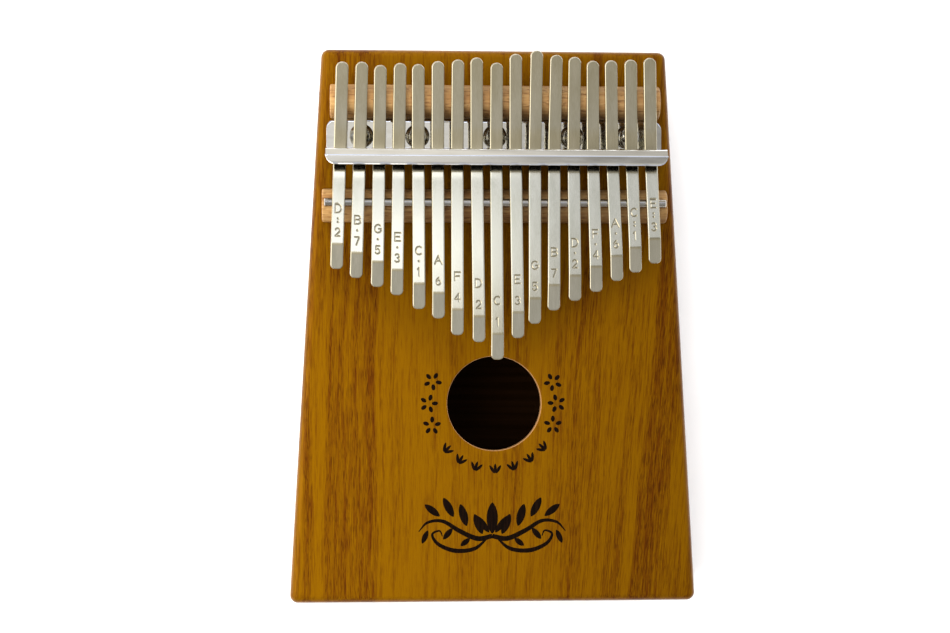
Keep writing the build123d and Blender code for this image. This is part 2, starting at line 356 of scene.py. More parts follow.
def profileBoard(outline, normals, hole, radius, rings):
    # Rings run from the hole to the outline: each is (share of the way out, offset, height), where
    # the offset widens the hole's circle and draws the outline in by the same amount.
    middle = np.array(hole)
    toward = outline - middle
    toward = toward / np.hypot(toward[:, 0], toward[:, 1])[:, None]
    share, offset, height = [np.array(column)[None, :, None] for column in zip(*rings)]
    inner = middle + toward[:, None] * (radius + offset)
    outer = outline[:, None] - normals[:, None] * offset
    plan = inner * (1 - share) + outer * share
    return spread(plan[..., 0], plan[..., 1], height[..., 0])


def quarter(steps):
    # 0 to a right angle
    return np.linspace(0, pi / 2, steps)


def makeSoundboard():
    s = boxShape
    corners = [(-tailHalf, tailY), (tailHalf, tailY), (s["headHalf"], headY), (-s["headHalf"], headY)]
    outline, normals = roundedOutline(corners, [s["cornerRadius"]] * 4, 13, 26)
    top, bottom, seam = boardTop, boardLow[2], s["seamRound"]
    hole, edge = s["holeEdge"], s["topRound"]
    rings = [(0, seam, bottom), (0, 0, bottom + seam)]
    rings += [(0, hole * (1 - sin(a)), top - hole * (1 - cos(a))) for a in quarter(7)[::-1]]
    rings += [(t, hole * (1 - t) + edge * t, top) for t in np.linspace(0.15, 0.85, 5)]
    rings += [(1, edge * (1 - sin(a)), top - edge * (1 - cos(a))) for a in quarter(13)]
    rings += [(1, 0, bottom + seam), (1, seam, bottom)]
    points = profileBoard(outline, normals, s["holeMiddle"], s["holeRadius"], rings)
    addPiece("soundboard_lacquered", gridMesh("soundboard_shell", points, ring=True), lacqueredWood,
             instead=["soundboard"], sharp=50)


def makeBlock(name, node, corners, radii, material):
    # an outline carried straight up, with its top and bottom edges broken by a small quarter round
    low, high = boxOf(node)
    outline, normals = roundedOutline(corners, radii, 9, 8)
    seam, arc = boxShape["seamRound"], quarter(4)
    inset = seam * (1 - np.sin(np.concatenate([arc, arc[::-1]])))
    rise = seam * (1 - np.cos(arc))
    level = np.concatenate([low[2] + rise, high[2] - rise[::-1]])
    plan = outline[None] - normals[None] * inset[:, None, None]
    points = spread(plan[..., 0], plan[..., 1], level[:, None])
    addPiece(name, gridMesh(name + "_shell", points), material, instead=[node],
             sharp=50)


def makeRim():
    # two sides the box's whole length, with the head and tail blocks between them
    s = boxShape
    wall, fine, big = s["sideWall"], s["jointRadius"], s["cornerRadius"]
    for name, hand in (("left", -1), ("right", 1)):
        corners = [(hand * tailHalf, tailY), (hand * s["headHalf"], headY),
                   (hand * (s["headHalf"] - wall), headY), (hand * (tailHalf - wall), tailY)]
        radii = [big, big, fine, fine]
        if hand < 0:
            corners, radii = corners[::-1], radii[::-1]
        makeBlock(name + "_side_lacquered", name + "_side", corners, radii, lacqueredWood)
    for name, low in (("head", headY - s["endWall"]), ("tail", tailY)):
        high = low + s["endWall"]
        lowHalf, highHalf = halfWidth(low) - wall, halfWidth(high) - wall
        corners = [(-lowHalf, low), (lowHalf, low), (highHalf, high), (-highHalf, high)]
        makeBlock(name + "_block_lacquered", name + "_block", corners, [fine] * 4, blockWood)


def makeBackPlate():
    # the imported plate's own surface, merged, whose flats keep true normals up to the rounded edge
    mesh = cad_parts["back_plate"].data.copy()
    weld(mesh)
    piece = addPiece("back_plate_lacquered", mesh, backWood, instead=["back_plate"])
    normals = piece.modifiers.new("normals", "WEIGHTED_NORMAL")
    normals.keep_sharp = True
    applyModifiers(piece)


makeSoundboard()
makeRim()
makeBackPlate()
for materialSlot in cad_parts["anchor_block"].material_slots:
    materialSlot.material = rawWood
print("box built")


def makePaleWood():
    # Bare beech, planed and sanded: pinkish cream with short brown ray flecks along the bar.
    material, add = newMaterial("planed_beech")
    cloud = grainNoise(add, 0, 9, 0.16, 3.0)
    fibre = grainNoise(add, 0, 26, 1.3, 3.0, 0.6)
    fleck = grainNoise(add, 0, 4.5, 1.5, 1.0, 0.3)                       # flecks 0.5 mm by 2 mm
    tone = add("Mix", asNumber, {0: 0.5}, {2: cloud, 3: fibre})
    wood = add("ValToRGB", links={"Fac": tone},
               stops=[(0.36, "#966a3c"), (0.5, "#ae844f"), (0.64, "#c09a63")])
    fleckMask = add("MapRange", smoothly, {1: 0.6, 2: 0.7, 3: 0.0, 4: 0.6}, {0: fleck})
    flecked = add("Mix", asColour, {7: linear("#6c4220")}, {0: fleckMask, 6: wood}, out=2)
    fade = add("MapRange", values={1: -0.055, 2: 0.0, 3: 1.03, 4: 0.67},  # painted shade: darker toward the right
               links={0: add("SeparateXYZ", links={0: add("TexCoord", out="Object")})})
    colour = add("VectorMath", {"operation": "SCALE"}, links={0: flecked, "Scale": fade})
    bump = add("Bump", values={"Strength": 0.35, "Distance": 0.04 * mm}, links={"Height": fibre})
    closeMaterial(add, {"Roughness": 0.55, "IOR": 1.5, "Specular IOR Level": 0.3},
                  {"Base Color": colour, "Normal": bump})
    return material


paleWood = makePaleWood()
barShape = {
    "height": {"back_bar": 8.5, "front_bridge": 7.2},      # above the board
    "endRound": 0.6,
    "footRound": 0.25,
    "grooveRoom": 0.05,        # between the rod and its groove
}


def makeBar(name, node, groove=False):
    # The section's top is a half round of the bar's own half width, cut by the rod's groove where it
    # is lower. It is carried along X, and near each end it shrinks by a quarter round.
    low, high = boxOf(node)
    middleY, half = (low[1] + high[1]) / 2, (high[1] - low[1]) / 2
    top = low[2] + barShape["height"][node]
    across = -np.cos(np.linspace(0, pi, 61)) * half
    reach = rodRadius + barShape["grooveRoom"]
    if groove:
        across = np.unique(np.concatenate([across, np.linspace(-1, 1, 33) * reach + rodY - middleY]))
    crown = top - half + np.sqrt(np.maximum(half**2 - across**2, 0))
    if groove:
        away = across + middleY - rodY
        bottom = rodZ - np.sqrt(np.maximum(reach**2 - away**2, 0))
        crown = np.where(np.abs(away) < reach, np.minimum(crown, bottom), crown)
    foot = barShape["footRound"]
    under = np.array([(half, low[2] + foot), (half - foot, low[2]), (foot - half, low[2]),
                      (-half, low[2] + foot)])
    section = np.vstack([np.stack([across, crown], axis=-1), under])
    centre = np.array([0, (low[2] + top) / 2])
    arc, flat = quarter(6), 12
    shrink = barShape["endRound"] * (1 - np.sin(arc))
    step = barShape["endRound"] * (1 - np.cos(arc))
    along = np.concatenate([low[0] + step, np.linspace(low[0], high[0], flat + 2)[1:-1],
                            high[0] - step[::-1]])
    inset = np.concatenate([shrink, np.zeros(flat), shrink[::-1]])
    plan = centre + (section - centre)[None] * (1 - inset[:, None, None] / half)
    points = spread(along[:, None], plan[..., 0] + middleY, plan[..., 1])
    addPiece(name, gridMesh(name + "_shell", points), paleWood, instead=[node], sharp=40)


makeBar("back_bar_beech", "back_bar")
makeBar("front_bridge_beech", "front_bridge", groove=True)
print("bars built")


def makeSteel(name, s):
    # Polished and plated steel. Fine polishing lines along one axis spread the highlight a little, and
    # a faint cloud in the plating keeps the gloss from being even.
    material, add = newMaterial(name)
    lines = grainNoise(add, s["axis"], s["lineStretch"], s["lineScale"], 2.0)
    cloud = grainNoise(add, s["axis"], s["cloudStretch"], s["cloudScale"], 3.0)
    tone = add("Mix", asNumber, {0: s["lineShare"]}, {2: cloud, 3: lines})
    colour = add("ValToRGB", links={"Fac": tone}, stops=s["tones"])
    if s["oxide"]:                 # the punch left dark oxide in the stampings
        mark = add("Attribute", {"attribute_name": "stamped"}, out="Fac")
        oxide = add("Math", {"operation": "MULTIPLY"}, {1: s["oxide"]}, {0: mark})
        colour = add("Mix", asColour, {7: linear("#565652")}, {0: oxide, 6: colour}, out=2)
    gloss = add("MapRange", values={1: 0.35, 2: 0.65, 3: s["gloss"][0], 4: s["gloss"][1]},
                links={0: tone})
    bump = add("Bump", values={"Strength": s["brushed"], "Distance": 0.004 * mm}, links={"Height": lines})
    closeMaterial(add, {"Metallic": 1.0}, {"Base Color": colour, "Roughness": gloss, "Normal": bump})
    return material


def makeBracketChrome():
    # Chrome plate on bent sheet: mirror bright on the faces that were buffed, and painted shade on the
    # faces that look down, a dull dark colour that makes their reflections in the keys black.
    material, add = newMaterial("chrome_plated_sheet")
    haze = grainNoise(add, 0, 6, 0.5, 4.0)
    plate = add("ValToRGB", links={"Fac": haze}, stops=[(0.35, "#dddcd8"), (0.65, "#e9e9e7")])
    facing = add("SeparateXYZ", links={0: add("TexCoord", out="Normal")}, out="Z")
    # painted shade: faces that look down are coloured dark and made dull
    under = add("MapRange", values={1: -0.2, 2: -0.7, 3: 0.0, 4: 1.0}, links={0: facing})
    colour = add("Mix", asColour, {7: linear("#1a1613")}, {0: under, 6: plate}, out=2)
    gloss = add("MapRange", values={1: 0.35, 2: 0.65, 3: 0.06, 4: 0.12}, links={0: haze})
    rough = add("Mix", asNumber, {3: 0.5}, {0: under, 2: gloss})
    closeMaterial(add, {"Metallic": 1.0}, {"Base Color": colour, "Roughness": rough})
    return material


# nickel plate, warm grey and softly polished along the blade
springSteel = makeSteel("nickel_plated_spring_steel", {
    "axis": 1, "lineScale": 6.0, "lineStretch": 70, "cloudScale": 0.3, "cloudStretch": 4,
    "lineShare": 0.4, "tones": [(0.38, "#c4bca1"), (0.62, "#d0c8af")], "gloss": (0.1, 0.16),
    "brushed": 0.15, "oxide": 0.36,
})
bracketChrome = makeBracketChrome()
# drawn steel, cool grey with fine lines along the rod
drawnSteel = {
    "axis": 0, "lineScale": 7.0, "lineStretch": 60, "cloudScale": 0.35, "cloudStretch": 3,
    "lineShare": 0.35, "tones": [(0.38, "#aaa69f"), (0.6, "#bdb9b2")], "gloss": (0.128, 0.208),
    "brushed": 0.15, "oxide": 0.0,
}
rodSteel = makeSteel("drawn_steel_rod", drawnSteel)
# chrome duller and darker than the sheet's; the darker tone is painted shade for the dark reflections in
# the heads
screwChrome = makeSteel("chrome_plated_screw", {
    **drawnSteel, "tones": [(0.38, "#8f8b80"), (0.6, "#b9b6ab")], "gloss": (0.112, 0.182),
    "brushed": 0.05,
})
rodShape = {"chamfer": 0.3, "sides": 48}


def makeRod():
    # a circle carried along X, drawn in by a small chamfer at both ends
    half, chamfer = rodHigh[0], rodShape["chamfer"]
    along = np.array([-half, -half + chamfer, *np.linspace(-half + 1, half - 1, 9), half - chamfer, half])
    radius = np.full(along.shape, rodRadius)
    radius[[0, -1]] -= chamfer
    turn = np.linspace(0, 2 * pi, rodShape["sides"], endpoint=False)
    points = spread(along[:, None], rodY + radius[:, None] * np.cos(turn),
                    rodZ + radius[:, None] * np.sin(turn))
    addPiece("saddle_rod_steel", gridMesh("saddle_rod_shell", points), rodSteel,
             instead=["saddle_rod"])


bracketShape = {
    "sheet": 1.5,
    "bendRadius": 1.95,        # at the middle of the sheet
    "webMiddle": 57.1,
    "cornerRadius": 3.0,
    "cornerRun": 3.1,          # how far from the ends of the sheet its corners reach
    "rowStep": 1.1,
    "slotWidth": 4.8,
    "slotLow": 40.77,
    "slotHigh": 44.27,
    "edgeBevel": 0.16,
    "lipBack": 0.3,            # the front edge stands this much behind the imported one
    "bevelRun": 1.8,           # the lip falls away in a slope before it turns down into the web
    "bevelSlope": 30.0,
    "bevelBend": 0.9,
}
keyPitch = 6.4
keyCount = 17


def fineLine(path, levels):
    # the same line with points at the given heights on its upright part, and none far apart
    run = np.concatenate([[0], np.cumsum(np.hypot(*np.diff(path, axis=0).T))])
    upright = np.abs(path[:, 0] - bracketShape["webMiddle"]) < 1e-6
    stops = np.interp(levels, path[upright, 1], run[upright])
    places = np.unique(np.round(np.concatenate([run, stops, np.linspace(*stops, 5),
                                                np.arange(0, run[-1], bracketShape["rowStep"])]), 5))
    keep = np.concatenate([[True], np.diff(places) > 0.02])
    places = places[keep | np.isin(places, np.round(stops, 5))]
    return np.stack([np.interp(places, run, path[:, 0]), np.interp(places, run, path[:, 1])], axis=-1)


def makeBracket():
    # The middle surface of the bent sheet: along u its path goes forward on the board, up and forward
    # again over tangent bends, and v runs across the keys. Near the sides both ends of the path are
    # drawn in to round the plan's corners. The slots are left out of the web.
    b = bracketShape
    half, thick, curve = bracketHigh[0], b["sheet"], b["cornerRadius"]
    rear, front = bracketHigh[1], bracketLow[1] + b["lipBack"]
    low, high = boardTop + thick / 2, bracketHigh[2] - thick / 2
    bevelFall = b["bevelRun"] * np.tan(radians(b["bevelSlope"]))
    corners = [(rear, low), (b["webMiddle"], low), (b["webMiddle"], high - bevelFall),
               (b["webMiddle"] - b["bevelRun"], high), (front, high)]
    path = roundedPath(corners, [b["bendRadius"], b["bevelBend"], b["bevelBend"]])
    path = fineLine(path, [b["slotLow"], b["slotHigh"]])
    run = np.concatenate([[0], np.cumsum(np.hypot(*np.diff(path, axis=0).T))])
    slots = (np.arange(keyCount) - (keyCount - 1) / 2)[:, None] * keyPitch
    slots = (slots + np.array([-0.5, 0, 0.5]) * b["slotWidth"]).reshape(-1)
    corner = half - curve * (1 - np.sin(quarter(7)))
    across = np.unique(np.round(np.concatenate([slots, corner, -corner]), 4))
    past = np.maximum(np.abs(across) - half + curve, 0)
    draw = curve - np.sqrt(np.maximum(curve**2 - past**2, 0))
    fromRear, fromFront = run[:, None], run[-1] - run[:, None]
    zone = b["cornerRun"]
    shift = draw[None] * (np.maximum(1 - fromRear / zone, 0) - np.maximum(1 - fromFront / zone, 0))
    place = run[:, None] + shift
    points = spread(across, np.interp(place, run, path[:, 0]), np.interp(place, run, path[:, 1]))
    index = np.arange(place.size).reshape(place.shape)
    quads = np.stack([index[:-1, :-1], index[:-1, 1:], index[1:, 1:], index[1:, :-1]], axis=-1)
    middle = (points[:-1, :-1] + points[1:, 1:]) / 2
    fromKey = np.abs(middle[..., 0] / keyPitch - np.round(middle[..., 0] / keyPitch)) * keyPitch
    inSlot = (fromKey < b["slotWidth"] / 2) & (np.abs(middle[..., 0]) < keyCount / 2 * keyPitch)
    inSlot &= (middle[..., 2] > b["slotLow"]) & (middle[..., 2] < b["slotHigh"])
    inSlot &= np.abs(middle[..., 1] - b["webMiddle"]) < 0.1
    mesh = bpy.data.meshes.new("tine_bracket_sheet")
    mesh.from_pydata((points.reshape(-1, 3) * mm).tolist(), [], quads[~inSlot].tolist())
    work = bmesh.new()
    work.from_mesh(mesh)
    loose = [vertex for vertex in work.verts if not vertex.link_faces]
    bmesh.ops.delete(work, geom=loose, context="VERTS")
    work.to_mesh(mesh)
    work.free()
    piece = addPiece("tine_bracket_chrome", mesh, bracketChrome,
                     instead=["tine_bracket"])
    wall = piece.modifiers.new("sheet", "SOLIDIFY")
    wall.thickness, wall.offset = thick * mm, 0
    wall.use_even_offset = True
    edge = piece.modifiers.new("edges", "BEVEL")
    edge.width, edge.segments, edge.limit_method = b["edgeBevel"] * mm, 3, "ANGLE"
    edge.angle_limit = radians(50)
    edge.harden_normals = True
    applyModifiers(piece, 30)


makeRod()
makeBracket()
print("rod and bracket built")


screwShape = {
    "places": (-44.2, -25.7, 0.0, 25.7, 44.2),
    "y": 62.9,
    "headRadius": 4.0,
    "headHeight": 2.6,
    "rimHeight": 0.9,
    "rimRound": 0.3,
    "skirt": 0.4,                      # how far the side goes on into the bracket
    "recessHalf": 2.2,
    "recessWidth": 1.1,
    "recessDepth": 1.6,
    "recessRamp": 0.3,                 # width of the recess's smoothly falling wall
    "recessRise": 0.25,                # slope of its floor
    "turns": (20, 52, 8, 71, 35),      # how far each was driven, degrees
}


def smoothStep(share):
    # 0 up to 0, then 3 s^2 - 2 s^3, and 1 from 1 on
    share = np.clip(share, 0, 1)
    return share * share * (3 - 2 * share)


def makeScrew(number, x, turnAngle):
    # Height over distance from the middle: a shallow dome, less a crossed recess whose walls fall
    # smoothly, then a rolled rim and an upright side down to the bracket.
    s = screwShape
    base = boardTop + bracketShape["sheet"]
    full, rim = s["headRadius"], s["rimRound"]
    reach = np.concatenate([np.linspace(0, full - rim, 44), full - rim + rim * np.sin(quarter(6))[1:]])
    r, a = np.meshgrid(reach, np.linspace(0, 2 * pi, 120, endpoint=False), indexing="ij")
    rise = s["headHeight"] - s["rimHeight"]
    curve = (full**2 + rise**2) / (2 * rise)
    dome = s["headHeight"] - curve + np.sqrt(curve**2 - r**2)
    edge = np.maximum(r - full + rim, 0)
    dome = dome - rim + np.sqrt(np.maximum(rim**2 - edge**2, 0))
    east, north = np.abs(r * np.cos(a)), np.abs(r * np.sin(a))
    arm, width = s["recessHalf"], s["recessWidth"] / 2
    fromArm = np.minimum(np.maximum(north - width, east - arm), np.maximum(east - width, north - arm))
    fall = smoothStep(0.5 - fromArm / s["recessRamp"])
    floor = s["headHeight"] - s["recessDepth"] + s["recessRise"] * r
    height = dome * (1 - fall) + np.minimum(dome, floor) * fall
    a = a + radians(turnAngle)
    top = spread(x + r * np.cos(a), s["y"] + r * np.sin(a), base + height)
    skirt = top[-1:].copy()
    skirt[..., 2] = base - s["skirt"]
    mesh = gridMesh(f"bracket_screw_{number}_shell", np.concatenate([top, skirt]))
    addPiece(f"bracket_screw_{number}", mesh, screwChrome, instead=["bracket_screws"],
             sharp=60)


for number, (x, turnAngle) in enumerate(zip(screwShape["places"], screwShape["turns"]), 1):
    makeScrew(number, x, turnAngle)
print("screws built")


def arcStroke(x, y, width, height, start, end):
    # points on an ellipse between two angles in degrees
    angle = np.radians(np.linspace(start, end, 9))
    return [(x + width * cos(a), y + height * sin(a)) for a in angle]


# stamped letters and numbers, as strokes on a unit square
markStrokes = {
    "A": [[(0, 0), (0.5, 1), (1, 0)], [(0.2, 0.36), (0.8, 0.36)]],
    "B": [[(0.1, 0), (0.1, 1), (0.55, 1)], arcStroke(0.55, 0.76, 0.32, 0.24, 90, -90),
          [(0.1, 0.52), (0.55, 0.52)], arcStroke(0.55, 0.26, 0.38, 0.26, 90, -90), [(0.55, 0), (0.1, 0)]],
    "C": [arcStroke(0.55, 0.5, 0.48, 0.5, 50, 310)],
    "D": [[(0.45, 0), (0.08, 0), (0.08, 1), (0.45, 1)], arcStroke(0.45, 0.5, 0.47, 0.5, 90, -90)],
    "E": [[(0.92, 0), (0.12, 0), (0.12, 1), (0.92, 1)], [(0.12, 0.52), (0.8, 0.52)]],
    "F": [[(0.12, 0), (0.12, 1), (0.92, 1)], [(0.12, 0.52), (0.8, 0.52)]],
    "G": [arcStroke(0.52, 0.5, 0.48, 0.5, 50, 335), [(0.97, 0.3), (0.97, 0.48), (0.6, 0.48)]],
    "1": [[(0.3, 0.8), (0.52, 1), (0.52, 0)]],
    "2": [arcStroke(0.5, 0.7, 0.36, 0.3, 165, -35), [(0.8, 0.53), (0.12, 0), (0.9, 0)]],
    "3": [arcStroke(0.48, 0.75, 0.34, 0.25, 150, -80), arcStroke(0.48, 0.26, 0.38, 0.26, 85, -150)],
    "4": [[(0.72, 0), (0.72, 1), (0.1, 0.3), (0.95, 0.3)]],
    "5": [[(0.84, 1), (0.24, 1), (0.18, 0.54)], arcStroke(0.48, 0.32, 0.38, 0.32, 135, -150)],
    "6": [arcStroke(0.5, 0.31, 0.36, 0.31, 0, 360), arcStroke(0.98, 0.4, 0.84, 0.62, 120, 190)],
    "7": [[(0.12, 1), (0.88, 1), (0.4, 0)]],
}
markShape = {
    "letter": (2.3, 2.7),
    "number": (1.9, 2.6),
    "numberFromCrease": 3.8,
    "letterFromNumber": 7.0,
    "extraForTwoDots": 0.8,
    "dotStep": 1.15,
    "dotRadius": 0.26,
    "strokeHalf": 0.13,
    "softness": 0.1,
    "depth": 0.16,
}


def fromStrokes(across, along, strokes, middle, size):
    # distance of every point from the nearest stroke of one mark, each stroke a line of short pieces
    nearest = np.full(across.shape, 99.0)
    for stroke in strokes:
        line = (np.array(stroke) - 0.5) * size
        line[:, 1] += middle
        for start, end in zip(line[:-1], line[1:]):
            side = end - start
            fromX, fromY = across - start[0], along - start[1]
            share = np.clip((fromX * side[0] + fromY * side[1]) / (side @ side), 0, 1)
            nearest = np.minimum(nearest, np.hypot(fromX - share * side[0], fromY - share * side[1]))
    return nearest


def stampDepth(across, fromCrease, letter, dots, number):
    # 1 in the bottom of a stroke and 0 outside, along measured from the crease toward the bracket
    m = markShape
    numberPlace = m["numberFromCrease"]
    letterPlace = numberPlace + m["letterFromNumber"] + (m["extraForTwoDots"] if dots == 2 else 0)
    nearest = np.minimum(
        fromStrokes(across, fromCrease, markStrokes[number], numberPlace, m["number"]),
        fromStrokes(across, fromCrease, markStrokes[letter], letterPlace, m["letter"]))
    for dot in range(dots):
        place = (numberPlace + letterPlace) / 2 + (dot - (dots - 1) / 2) * m["dotStep"]
        gap = np.hypot(across, fromCrease - place) - m["dotRadius"] + m["strokeHalf"]
        nearest = np.minimum(nearest, gap)
    return smoothStep(1 - (nearest - m["strokeHalf"] + m["softness"]) / (2 * m["softness"]))


# Keys from left to right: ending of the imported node's name, note letter, octave dots, scale number,
# and how far the blade leans, in degrees.
keyRows = [
    ("01_d6", "D", 2, "2", -1.5), ("02_b5", "B", 1, "7", -1.5), ("03_g5", "G", 1, "5", -0.8),
    ("04_e5", "E", 1, "3", -0.8), ("05_c5", "C", 1, "1", 0.2), ("06_a4", "A", 0, "6", 0.1),
    ("07_f4", "F", 0, "4", -0.2), ("08_d4", "D", 0, "2", 0.4), ("09_c4", "C", 0, "1", 0.0),
    ("10_e4", "E", 0, "3", 0.3), ("11_g4", "G", 0, "5", -0.6), ("12_b4", "B", 0, "7", -0.8),
    ("13_d5", "D", 1, "2", -0.1), ("14_f5", "F", 1, "4", 0.7), ("15_a5", "A", 1, "6", 1.5),
    ("16_c6", "C", 2, "1", 1.3), ("17_e6", "E", 2, "3", 1.5),
]
keyShape = {
    "width": 4.2,
    "thickness": 1.2,
    "edgeRound": 0.35,
    "tipCorner": 1.6,
    "tailCorner": 2.05,
    "turnAt": 56.6,            # where the key turns up again, under the bracket
    "tailSlope": 5.11,         # degrees, down toward the bracket
    "bladeSlope": 7.30,        # degrees, up toward the tip
    "springRadius": 80.0,
    "tipDroop": 11.0,
    "tipRun": 8.2,
    "creaseLength": 0.8,
    "creaseBefore": 0.35,      # how far the crease's middle lies inside the tip's run
    "samples": 6001,           # steps in which the line of the key is added up
    "rimZone": 0.5,            # columns lie close together in this strip along the sides
    "topColumns": 33,
    "lowColumns": 5,
    "markZone": 13.2,          # how far from the crease the marks reach
    "creaseZone": 1.5,
    # distance between rows on the blade, in the marks, at the crease and on the tip
    "rowSteps": (1.3, 0.1, 0.12, 0.6),
    "blendRun": 12.0,          # the blade bends from the rod to here
}


def outlineHalf(fromTail, fromTip):
    # half width of the plan: full in the middle, drawn in by a quarter round at each end
    half = np.full(fromTail.shape, keyShape["width"] / 2)
    for distance, radius in ((fromTail, keyShape["tailCorner"]), (fromTip, keyShape["tipCorner"])):
        inside = np.clip(radius - distance, 0, radius)
        half = half - (radius - np.sqrt(radius**2 - inside**2))
    return half


def fromPlanEdge(across, fromTail, fromTip):
    # distance inward from the plan's edge: half the width less the distance from the middle line, and
    # near the ends the smaller of that, the distance from the end and that from the corner's arc
    half = keyShape["width"] / 2
    edge = half - np.abs(across)
    for distance, radius in ((fromTail, keyShape["tailCorner"]), (fromTip, keyShape["tipCorner"])):
        inward = np.maximum(np.abs(across) - half + radius, 0)
        corner = np.minimum(radius - np.hypot(inward, np.maximum(radius - distance, 0)), distance)
        edge = np.minimum(edge, np.where(distance < radius, corner, edge))
    return np.maximum(edge, 0)


def keyColumns(count):
    # shares of the half width across the key: close together along the sides, even between them
    half, zone = keyShape["width"] / 2, keyShape["rimZone"]
    side = half - zone + zone * np.sin(quarter(8))
    return np.concatenate([-side[::-1], np.linspace(zone - half, half - zone, count)[1:-1], side]) / half


def makeKey(index, row):
    ending, letter, dots, number, lean = row
    k = keyShape
    node = "tine_" + ending
    low, high = boxOf(node)
    keyX = (index - (keyCount - 1) / 2) * keyPitch
    turn = radians(lean)
    tailRun = (high[1] - k["turnAt"]) / cos(turn)
    tipRun = (k["turnAt"] - low[1]) / cos(turn)

    # The slope along the key turns evenly at the bracket over the spring radius, and again at the
    # crease before the tip. Adding up its cosine and sine gives the line of the underside.
    springTurn = radians(k["tailSlope"] + k["bladeSlope"])
    springHalf = k["springRadius"] * springTurn / 2
    fine = np.linspace(-tailRun - 2, tipRun + 2, k["samples"])
    creaseAt = tipRun - k["tipRun"] + k["creaseBefore"]
    spring = np.clip((fine + springHalf) / (2 * springHalf), 0, 1)
    crease = np.clip((fine - creaseAt) / k["creaseLength"] + 0.5, 0, 1)
    slope = spring * springTurn - radians(k["tailSlope"]) - crease * radians(k["tipDroop"])
    run = np.cumsum(np.cos(slope)) * (fine[1] - fine[0])
    rise = np.cumsum(np.sin(slope)) * (fine[1] - fine[0])
    run -= np.interp(0, fine, run)
    rise += low[2] - rise.min()
    start, end = np.interp([-tailRun, tipRun], run, fine)

    # rows lie close together in the rounded ends, at the crease and through the marks
    endRows = 1 - np.cos(quarter(13))
    tail, tip, zone = k["tailCorner"], k["tipCorner"], k["creaseZone"]
    marksFrom = creaseAt - k["markZone"]
    bladeStep, markStep, creaseStep, tipStep = k["rowSteps"]
    rows = np.unique(np.round(np.concatenate([
        start + tail * endRows,
        np.arange(start + tail, marksFrom, bladeStep),
        np.arange(marksFrom, creaseAt - zone - 0.1, markStep),
        np.arange(creaseAt - zone, creaseAt + zone, creaseStep),
        np.arange(creaseAt + zone + 0.1, end - tip, tipStep),
        end - tip * endRows[::-1],
    ]), 4))
    fromTail, fromTip = rows - start, end - rows
    half = outlineHalf(fromTail, fromTip)[:, None]
    topX, lowX = half * keyColumns(k["topColumns"]), half * keyColumns(k["lowColumns"])[::-1]

    def rounded(across):
        # how far the surface falls at the edge, by a quarter round
        edge = fromPlanEdge(across, fromTail[:, None], fromTip[:, None])
        inside = np.maximum(k["edgeRound"] - edge, 0)
        return k["edgeRound"] - np.sqrt(np.maximum(k["edgeRound"]**2 - inside**2, 0))

    stamp = stampDepth(topX, (creaseAt - rows)[:, None] + 0 * topX, letter, dots, number)
    lowHeight = rounded(lowX)
    across = np.hstack([topX, lowX])
    height = np.hstack([k["thickness"] - rounded(topX) - markShape["depth"] * stamp, lowHeight])
    stamped = np.hstack([stamp, 0 * lowHeight])

    angle = np.interp(rows, fine, slope)[:, None]
    along = np.interp(rows, fine, run)[:, None] - height * np.sin(angle)
    points = spread(keyX + across * cos(turn) + along * sin(turn),
                    k["turnAt"] + across * sin(turn) - along * cos(turn),
                    np.interp(rows, fine, rise)[:, None] + height * np.cos(angle))
    mesh = gridMesh(node + "_blade", points, attribute=("stamped", stamped))
    piece = addPiece(node + "_nickel", mesh, springSteel, body=None, instead=[node],
                     sharp=60)
    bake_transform(piece)


for index, row in enumerate(keyRows):
    makeKey(index, row)
print("keys built")


def makePrintInk():
    # Matt black screen-print ink: slightly brown where it lies thin over the grain.
    material, add = newMaterial("screen_print_ink")
    colour = add("ValToRGB", links={"Fac": grainNoise(add, 1, 10, 1.6, 3.0)},
                 stops=[(0.45, "#080301"), (0.72, "#150802")])
    closeMaterial(add, {"Roughness": 0.6, "IOR": 1.5, "Specular IOR Level": 0.05}, {"Base Color": colour})
    return material


printInk = makePrintInk()
inkShape = {
    "proud": 0.03,             # thickness of the ink
    # each flower's distance from the middle of the hole, and its angle in degrees
    "flowers": ((20.9, -20), (20.9, 0), (20.9, 20), (21.8, 160), (21.8, 180), (22.0, 199.5)),
    "petalRing": 2.05,
    "petalHalf": (1.02, 0.66),
    "flowerTurn": 14,          # each flower is turned this much more than the one before
    "leafRing": 21.7,
    "leafAngles": (-46, -31, -16, 1, 17, 33, 48),
    "leafHalf": (1.6, 0.5),
    "leafSpread": 32,
    "footReach": 1.9,          # from the ring out to the foot of a sprout
    "leafReach": 2.0,          # from the foot to the middle of a leaf
}


def petalMesh(name, middle, angle, halfLength, halfWidth, point=1.0):
    # A flat oval whose width falls as sine to a power, so point 1 is an ellipse and more is a leaf.
    # It is a polar grid, a hair thicker in the middle than at its rim.
    t = np.linspace(0, 2 * pi, 40, endpoint=False)
    r = np.array([0.0, 0.5, 0.85, 1.0, 1.0])[:, None]
    lift = np.array([1.0, 1.0, 0.9, 0.35, -0.6])[:, None] * inkShape["proud"]
    u = halfLength * np.cos(t) * r
    v = halfWidth * np.sign(np.sin(t)) * np.abs(np.sin(t)) ** point * r
    return gridMesh(name, spread(middle[0] + u * cos(angle) - v * sin(angle),
                                 middle[1] + u * sin(angle) + v * cos(angle), boardTop + lift))


